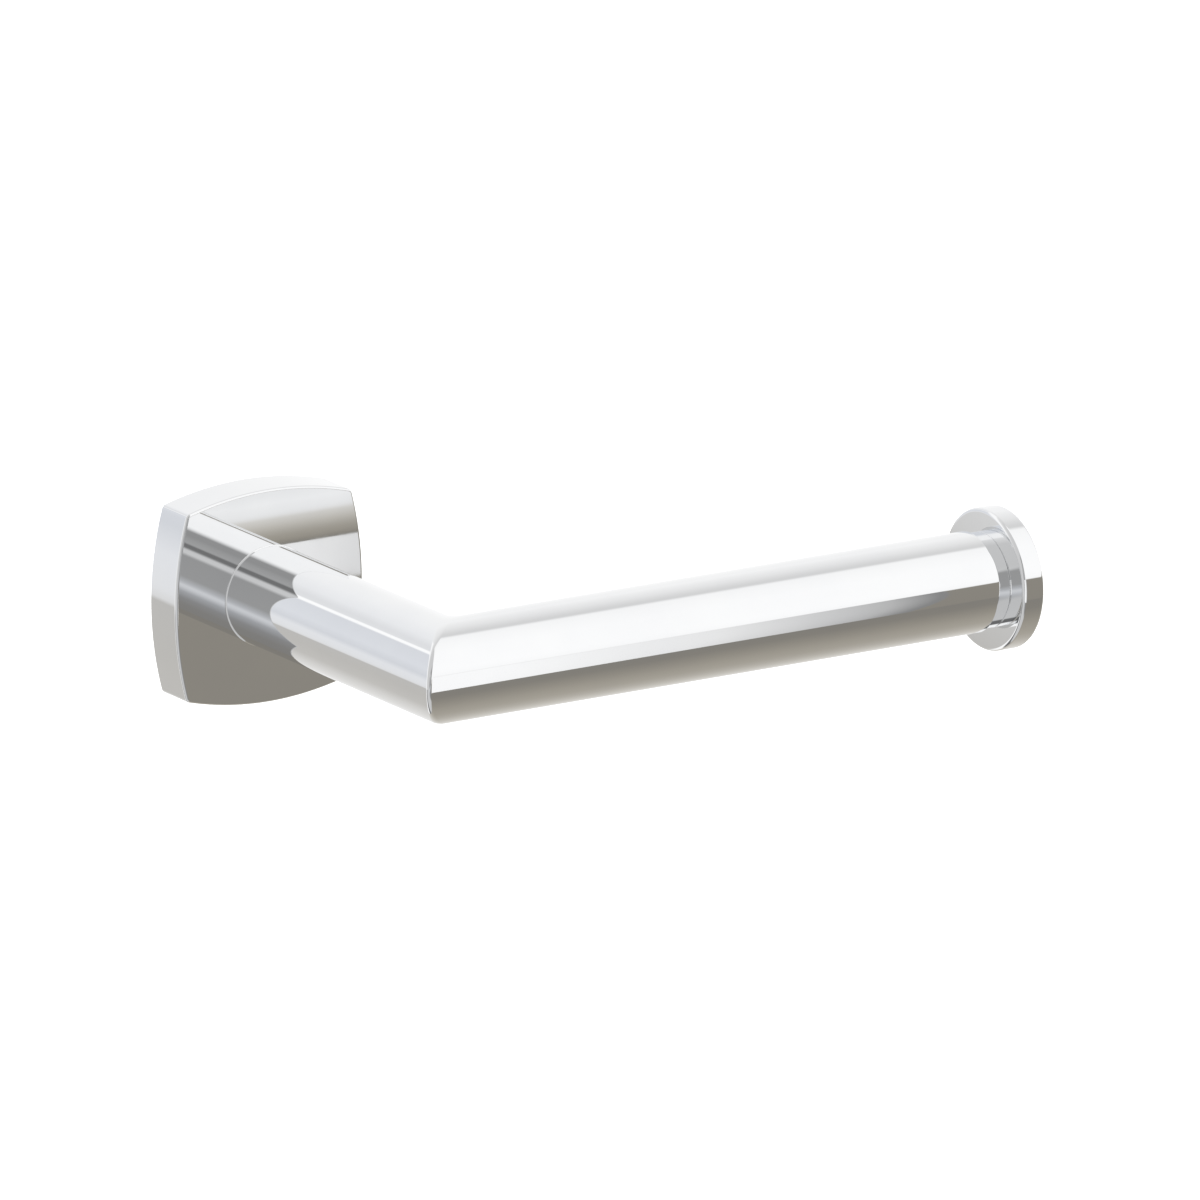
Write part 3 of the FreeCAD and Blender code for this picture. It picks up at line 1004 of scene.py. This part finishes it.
@dataclass
class FrontCard:
    """A low card in front of the holder, which the bar mirrors, and which fades towards its far end.

    Attributes:
        gain: a factor for what the metal swallows.
        near: the card's left edge.
        far: its right edge.
        low: its lower edge.
        high: its upper edge.
        y: the plane that it stands in.
        fade_from: where the fade starts.
        fade: pairs of a share of the way to the right edge, and a displayed grey.
    """

    gain: float
    near: float = 45 * MM
    far: float = 217 * MM
    low: float = -74 * MM
    high: float = 23.6 * MM
    y: float = -240 * MM
    fade_from: float = 70 * MM
    fade: tuple[tuple[float, float], ...] = (
        (0.0, 251),
        (0.18, 250),
        (0.38, 241),
        (0.58, 231),
        (0.82, 197),
        (0.90, 180),
        (0.985, 134),
    )

    def glow(self) -> bpy.types.Material:
        """Makes the card's light.

        Returns:
            An emission that follows the card's length.
        """
        material = bpy.data.materials.new("front card")
        material.use_nodes = True
        tree = material.node_tree
        tree.nodes.clear()
        output = tree.nodes.new("ShaderNodeOutputMaterial")
        glow = tree.nodes.new("ShaderNodeEmission")
        where = tree.nodes.new("ShaderNodeTexCoord")
        axes = tree.nodes.new("ShaderNodeSeparateXYZ")
        spread = tree.nodes.new("ShaderNodeMapRange")
        spread.inputs["From Min"].default_value = self.fade_from
        spread.inputs["From Max"].default_value = self.far
        fade = tree.nodes.new("ShaderNodeValToRGB")
        fill_ramp(fade, [(share, studio_colour(grey, 0, self.gain)) for share, grey in self.fade])
        tree.links.new(where.outputs["Object"], axes.inputs["Vector"])
        tree.links.new(axes.outputs["X"], spread.inputs["Value"])
        tree.links.new(spread.outputs["Result"], fade.inputs["Fac"])
        tree.links.new(fade.outputs["Color"], glow.inputs["Color"])
        tree.links.new(glow.outputs["Emission"], output.inputs["Surface"])
        return material

    def build(self) -> None:
        """Stands the card."""
        bm = bmesh.new()
        place = Matrix.Translation(((self.near + self.far) / 2, self.y, (self.low + self.high) / 2))
        upright = Matrix.Rotation(math.pi / 2, 4, "X")
        size = Matrix.Diagonal((self.far - self.near, self.high - self.low, 1, 1))
        bmesh.ops.create_grid(bm, x_segments=1, y_segments=1, size=0.5, matrix=place @ upright @ size)
        card = studio_piece("front_card", bm, self.glow(), Light.MIRRORED)


@dataclass
class Studio:
    """The room that the chrome mirrors: a white roof, a dark floor in front and pale walls behind."""

    gain: float = 1.10
    floor_level: float = -3.4
    floor_radius: float = 30.0
    floor_grey: float = 0.92
    floor_glow: float = 0.35
    lamp_strength: float = 1.6
    lamp_angle: float = math.radians(40)
    wall_rise: tuple[float, float] = (-0.30, -0.25)
    wall_front: tuple[float, float] = (-0.76, -0.62)
    wall_back: tuple[float, float] = (0.66, 0.775)
    split: tuple[float, float] = (-0.02, 0.02)
    split_slant: float = 0.16
    roof_right: tuple[Band, ...] = (
        Band(-178, 246),
        Band(-150, 222, 4),
        Band(-120, 190, 8),
        Band(-104, 172, 9),
        Band(-90, 160, 10),
        Band(-72, 151, 10),
        Band(-55, 139, 9),
        Band(-40, 128, 7),
        Band(-27, 126, 6),
        Band(-25, 133, 8),
        Band(7.5, 134, 8),
        Band(8.5, 250),
        Band(20, 253),
        Band(60, 252),
        Band(80, 249),
        Band(93, 246),
        Band(99, 210),
        Band(104, 213),
        Band(120, 229),
        Band(145, 243),
        Band(178, 250),
    )
    back_wall: tuple[Band, ...] = (
        Band(-178, 247),
        Band(-150, 242),
        Band(-119, 222, 2),
        Band(-90, 207, 3),
        Band(-70, 190, 4),
        Band(-45, 186, 4),
        Band(-26.5, 186, 3),
        Band(-25.9, 214, 0),
        Band(-22, 225, -2),
        Band(-10, 227, -3),
        Band(0, 213, -5),
        Band(15, 221, -5),
        Band(46, 217, -5),
        Band(48.5, 254),
        Band(53, 254),
        Band(55, 224, -2),
        Band(64, 223, -2),
        Band(80, 234, -2),
        Band(110, 240, -1),
        Band(150, 243),
        Band(178, 247),
    )
    left_room: tuple[Band, ...] = (
        Band(-178, 122, 4),
        Band(-80, 131, 3),
        Band(-60, 140),
        Band(-43, 168, -3),
        Band(-33, 205, -3),
        Band(-28, 212, -3),
        Band(-20, 184, -3),
        Band(-8, 157),
        Band(36, 155),
        Band(42, 207),
        Band(49, 207),
        Band(54, 118),
        Band(61, 116),
        Band(64, 166),
        Band(75, 158),
        Band(82, 149),
        Band(93, 150),
        Band(101, 240),
        Band(178, 250),
    )
    side_high: tuple[Band, ...] = (
        Band(-179, 192),
        Band(10, 204),
        Band(26, 226),
        Band(30, 250),
        Band(179, 252),
    )
    side_low: tuple[Band, ...] = (
        Band(-179, 186),
        Band(8, 200),
        Band(12, 108),
        Band(25, 106),
        Band(29, 252),
        Band(179, 252),
    )

    def ramp(
        self, tree: bpy.types.NodeTree, bands: Sequence[Band], angle: bpy.types.NodeSocket
    ) -> bpy.types.NodeSocket:
        """Adds a brightness ramp over an angle.

        Args:
            tree: the world's node tree.
            bands: the ramp's stops.
            angle: a socket with the angle in radians, from minus pi to pi.

        Returns:
            The ramp's colour.
        """
        spread = tree.nodes.new("ShaderNodeMapRange")
        spread.inputs["From Min"].default_value = -math.pi
        spread.inputs["From Max"].default_value = math.pi
        tree.links.new(angle, spread.inputs["Value"])
        node = tree.nodes.new("ShaderNodeValToRGB")
        fill_ramp(node, [((b.angle + 180) / 360, studio_colour(b.grey, b.warmth, self.gain)) for b in bands])
        tree.links.new(spread.outputs["Result"], node.inputs["Fac"])
        return node.outputs["Color"]

    @staticmethod
    def maths(tree: bpy.types.NodeTree, operation: str, *values: object) -> bpy.types.NodeSocket:
        """Adds a Math node.

        Args:
            tree: the world's node tree.
            operation: the Math node's operation.
            values: its inputs, each a number or a socket.

        Returns:
            The result's socket.
        """
        node = tree.nodes.new("ShaderNodeMath")
        node.operation = operation
        for socket, value in zip(node.inputs, values):
            if isinstance(value, bpy.types.NodeSocket):
                tree.links.new(value, socket)
            else:
                socket.default_value = value
        return node.outputs["Value"]

    @staticmethod
    def blend(
        tree: bpy.types.NodeTree,
        factor: bpy.types.NodeSocket,
        first: bpy.types.NodeSocket,
        second: bpy.types.NodeSocket,
    ) -> bpy.types.NodeSocket:
        """Mixes two colours by a factor.

        Args:
            tree: the world's node tree.
            factor: 0 for the first colour, 1 for the second.
            first: the first colour.
            second: the second colour.

        Returns:
            The mixed colour.
        """
        node = tree.nodes.new("ShaderNodeMix")
        node.data_type = "RGBA"
        tree.links.new(factor, node.inputs["Factor"])
        colours = [s for s in node.inputs if s.type == "RGBA"]
        tree.links.new(first, colours[0])
        tree.links.new(second, colours[1])
        return next(s for s in node.outputs if s.type == "RGBA")

    def room(self) -> None:
        """Builds the world: the far walls, floor and roof that the chrome mirrors."""
        world = bpy.data.worlds.new("studio")
        bpy.context.scene.world = world
        world.use_nodes = True
        tree = world.node_tree
        background = next(n for n in tree.nodes if n.type == "BACKGROUND")
        place = tree.nodes.new("ShaderNodeTexCoord")
        axes = tree.nodes.new("ShaderNodeSeparateXYZ")
        tree.links.new(place.outputs["Generated"], axes.inputs["Vector"])
        x, y, z = (axes.outputs[a] for a in ("X", "Y", "Z"))
        minus_y = self.maths(tree, "MULTIPLY", y, -1.0)
        minus_x = self.maths(tree, "MULTIPLY", x, -1.0)
        over = self.maths(tree, "ARCTAN2", z, minus_y)
        round_left = self.maths(tree, "ARCTAN2", z, minus_x)
        turn = self.maths(tree, "ARCSINE", y)
        low_wall = self.ramp(tree, self.side_low, turn)
        high_wall = self.ramp(tree, self.side_high, turn)
        wall = self.blend(tree, self.step(tree, z, self.wall_rise), low_wall, high_wall)
        beside = self.step(tree, y, self.wall_front)
        left = self.blend(tree, beside, self.ramp(tree, self.left_room, round_left), wall)
        edge = self.maths(tree, "MULTIPLY_ADD", y, self.split_slant, x)
        right = self.ramp(tree, self.roof_right, over)
        front = self.blend(tree, self.step(tree, edge, self.split), left, right)
        behind = self.step(tree, y, self.wall_back)
        back = self.ramp(tree, self.back_wall, round_left)
        tree.links.new(self.blend(tree, behind, front, back), background.inputs["Color"])

    @staticmethod
    def step(
        tree: bpy.types.NodeTree, value: bpy.types.NodeSocket, ends: tuple[float, float]
    ) -> bpy.types.NodeSocket:
        """Adds a soft step from 0 to 1.

        Args:
            tree: the world's node tree.
            value: the value that crosses the step.
            ends: where the step starts and ends.

        Returns:
            The step's socket.
        """
        node = tree.nodes.new("ShaderNodeMapRange")
        node.interpolation_type = "SMOOTHSTEP"
        node.inputs["From Min"].default_value, node.inputs["From Max"].default_value = ends
        tree.links.new(value, node.inputs["Value"])
        return node.outputs["Result"]

    def floor(self) -> None:
        """Lays the pale floor."""
        bm = bmesh.new()
        down = Matrix.Translation((0, 0, self.floor_level))
        bmesh.ops.create_circle(bm, cap_ends=True, segments=96, radius=self.floor_radius, matrix=down)
        material, shader = new_material("pale floor")
        shader.inputs["Base Color"].default_value = (self.floor_grey, self.floor_grey, self.floor_grey, 1.0)
        shader.inputs["Roughness"].default_value = 0.9
        shader.inputs["Emission Color"].default_value = (1.0, 1.0, 1.0, 1.0)
        shader.inputs["Emission Strength"].default_value = self.floor_glow
        floor = studio_piece("floor", bm, material, Light.SEEN)

    def lamp(self) -> None:
        """Hangs the soft light, straight above, which the metal doesn't mirror."""
        lamp = bpy.data.lights.new("soft top light", "SUN")
        lamp.energy, lamp.angle = self.lamp_strength, self.lamp_angle
        top = bpy.data.objects.new("soft top light", lamp)
        top.visible_glossy = False
        bpy.context.scene.collection.objects.link(top)

    def build(self) -> None:
        """Builds the room, the card, the floor and the light."""
        self.room()
        FrontCard(self.gain).build()
        self.floor()
        self.lamp()


@dataclass
class StudioCamera:
    """A long lens, to the holder's left and a little above it."""

    azimuth: float = math.radians(33.12)
    elevation: float = math.radians(15.53)
    roll: float = math.radians(0.40)
    distance: float = 4.29
    lens: float = 603.3
    sensor: float = 36.0
    clip: tuple[float, float] = (0.1, 200.0)
    aim: Vector = field(default_factory=lambda: Vector((0.06454, -0.03967, -0.00329)))

    def build(self) -> None:
        """Places the camera and makes it the scene's."""
        forward = Vector(
            (
                math.sin(self.azimuth) * math.cos(self.elevation),
                math.cos(self.azimuth) * math.cos(self.elevation),
                -math.sin(self.elevation),
            )
        )
        right = forward.cross(Z_AXIS).normalized()
        up = right.cross(forward)
        turned_right = right * math.cos(self.roll) + up * math.sin(self.roll)
        turned_up = up * math.cos(self.roll) - right * math.sin(self.roll)
        data = bpy.data.cameras.new("camera")
        data.sensor_width, data.lens = self.sensor, self.lens
        data.clip_start, data.clip_end = self.clip
        camera = bpy.data.objects.new("camera", data)
        bpy.context.scene.collection.objects.link(camera)
        axes = Matrix((turned_right, turned_up, -forward)).transposed().to_4x4()
        camera.matrix_world = Matrix.Translation(self.aim - forward * self.distance) @ axes
        bpy.context.scene.camera = camera


def main() -> None:
    """Builds the holder's sub-assemblies, the studio and the camera, in order."""
    logging.basicConfig(level=logging.INFO, format="%(message)s")
    bpy.context.scene.view_settings.view_transform = "Standard"
    finishes = Finishes()
    StudioCamera().build()
    Rosette(finishes).build()
    MitredTubes(finishes).build()
    FreeEnd(finishes).build()
    WallScrewThreads(finishes).build()
    HiddenFittings(finishes).build()
    Studio().build()


if __name__ == "__main__":
    main()
